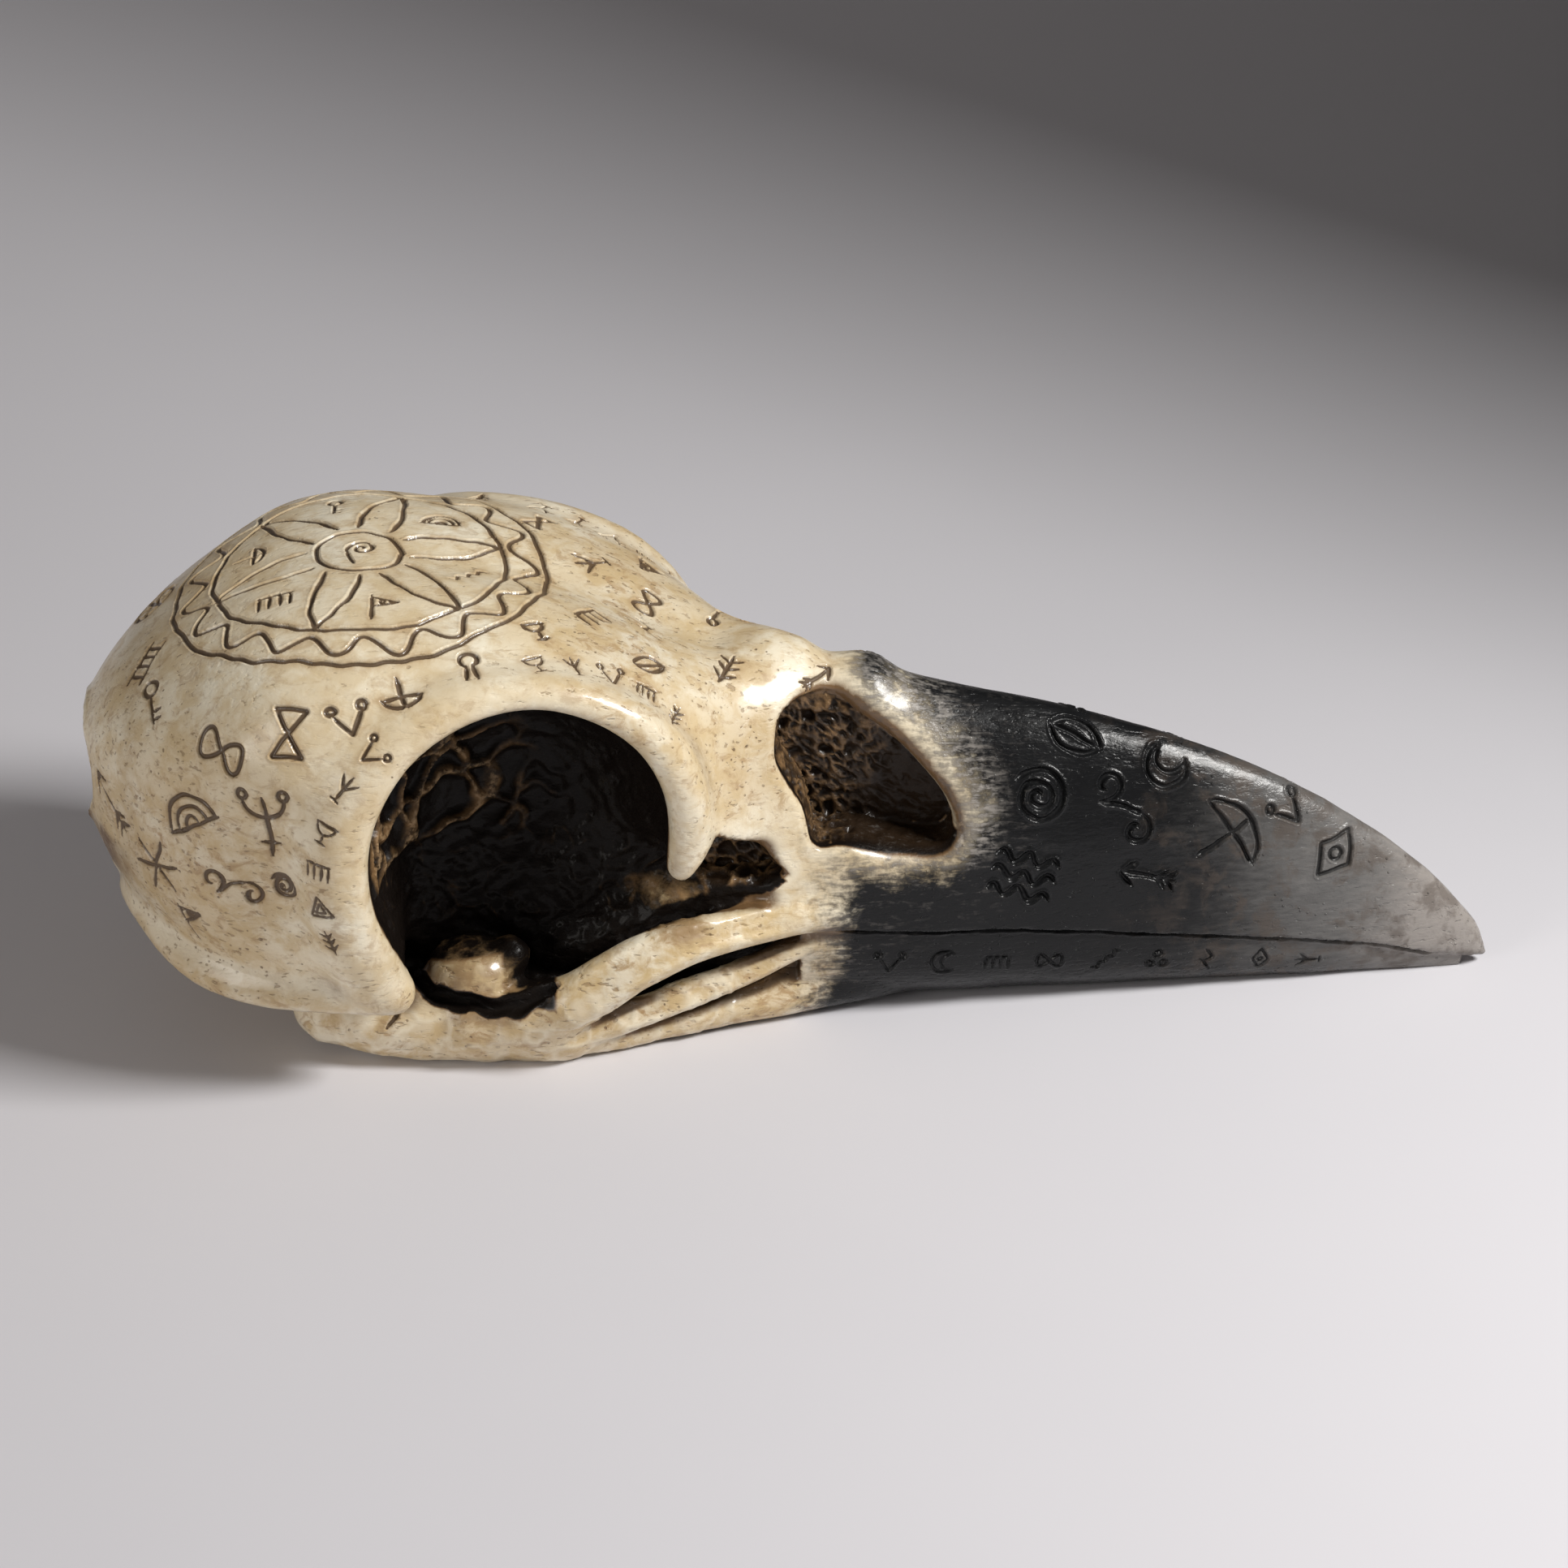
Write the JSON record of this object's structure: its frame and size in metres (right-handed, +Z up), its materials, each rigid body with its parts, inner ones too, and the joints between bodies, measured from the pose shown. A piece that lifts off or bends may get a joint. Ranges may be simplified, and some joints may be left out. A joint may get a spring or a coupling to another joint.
{
  "type": "raven skull ornament",
  "caption": "Raven skull cast in resin at about twice life size, with antiqued bone finish, engraved signs and a glossy black bill. It lies on its lower jaw.",
  "frame": {"origin": "middle of the bounding box in plan, on the floor that the skull rests on", "axes": "+X to the tip of the bill, +Y to the bird's left, +Z up"},
  "size_m": [0.2129, 0.081, 0.0736],
  "materials": {
    "bone_cranium": "ivory resin with a brown wash in its pores and engraved lines, satin varnish",
    "bone_jaw": "ivory resin with a brown wash, satin varnish",
    "bone_cheek": "ivory resin, lightly washed, satin varnish",
    "brown_base": "dark brown wash over ivory resin, varnished",
    "black_upper_bill": "black paint rubbed with silver grey, fading to ivory at its root, gloss varnish",
    "black_lower_bill": "black paint rubbed with silver grey, gloss varnish"
  },
  "bodies": {
    "root": {"cranium": "bone_cranium", "upper_beak": "black_upper_bill", "lower_beak": "black_lower_bill", "skull_base": "brown_base", "jaw_right": "bone_jaw", "jaw_left": "bone_jaw", "cheek_bar_right": "bone_cheek", "cheek_bar_left": "bone_cheek"}
  },
  "joints": []
}
